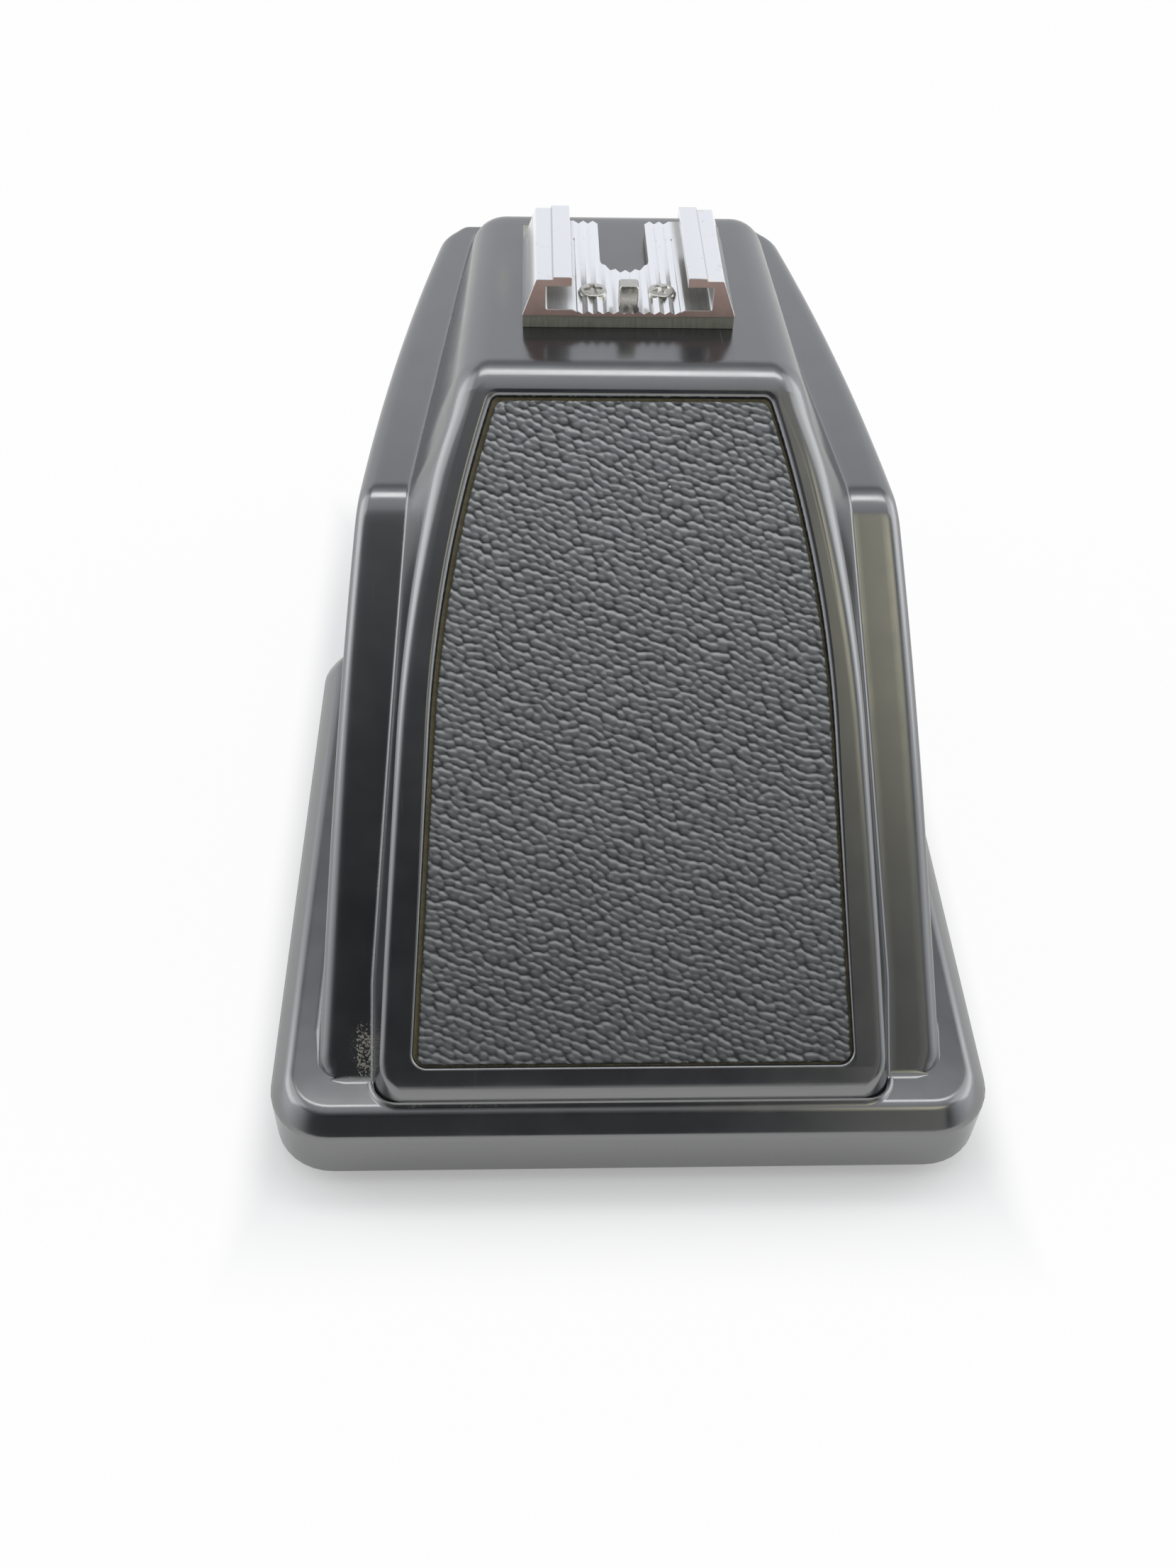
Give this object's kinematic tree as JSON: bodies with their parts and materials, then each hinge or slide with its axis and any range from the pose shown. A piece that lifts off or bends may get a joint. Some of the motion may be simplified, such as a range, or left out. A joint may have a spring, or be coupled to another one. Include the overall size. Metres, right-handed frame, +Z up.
{
  "type": "eye-level camera viewfinder",
  "caption": "Removable eye-level viewfinder for a medium-format camera: stepped black housing with a leatherette front panel, accessory shoe, mirror, lenses and sprung release catch.",
  "frame": {"origin": "centre of the bounding box's bottom face, on the surface the finder rests on", "axes": "+Z up from the camera seat, +Y from the sloping front towards the eyepiece, +X to the right seen from the front"},
  "size_m": [0.08, 0.1274, 0.0729],
  "materials": {
    "black_enamel": "satin black enamel on cast metal, worn pale on the edges",
    "black_leatherette": "pebble-grained imitation leather, matt",
    "satin_chrome": "satin chrome plate",
    "steel": "plain bright steel",
    "blackened_metal": "matt black, against stray light",
    "glass": "clear polished optical glass",
    "silvered_glass": "front-silvered glass",
    "black_rubber": "matt black moulded rubber"
  },
  "bodies": {
    "finder_body": {"upper_housing": "black_enamel", "front_leatherette": "black_leatherette", "shoe_rail": "satin_chrome", "shoe_shim": "satin_chrome", "shoe_screw_left": "steel", "shoe_screw_right": "steel", "shoe_stop_pin": "steel", "base_frame": "blackened_metal", "base_screw_1": "steel", "base_screw_2": "steel", "base_screw_3": "steel", "base_screw_4": "steel", "dust_glass": "glass", "front_mirror": "silvered_glass", "mirror_plate": "blackened_metal", "mirror_screw_1": "steel", "mirror_screw_2": "steel", "mirror_screw_3": "steel", "mirror_screw_4": "steel", "mirror_clip_left": "steel", "mirror_clip_right": "steel", "erecting_lens_mount": "blackened_metal", "erecting_lens_cell": "blackened_metal", "erecting_lens_nut": "blackened_metal", "erecting_lens_front": "glass", "erecting_lens_rear": "glass", "eyepiece_barrel": "blackened_metal", "eyepiece_lock_ring": "blackened_metal", "eyepiece_front_lens": "glass", "eyepiece_spacer": "blackened_metal", "eyepiece_rear_lens": "glass", "eyepiece_retaining_ring": "blackened_metal", "eyecup": "black_rubber", "latch_cover": "blackened_metal", "latch_cover_screw_left": "steel", "latch_cover_screw_right": "steel", "latch_spring_left": "steel", "latch_spring_right": "steel"},
    "release_catch": {"release_button": "satin_chrome", "latch_slide": "steel"}
  },
  "joints": [
    {"name": "release_catch_slide", "type": "slide", "parent": "finder_body", "child": "release_catch", "axis": [0, -1, 0], "range_m": [0, 0.002], "stiffness_N_per_m": 400, "springref_m": -0.001, "deforming": ["latch_spring_left", "latch_spring_right"]}
  ]
}
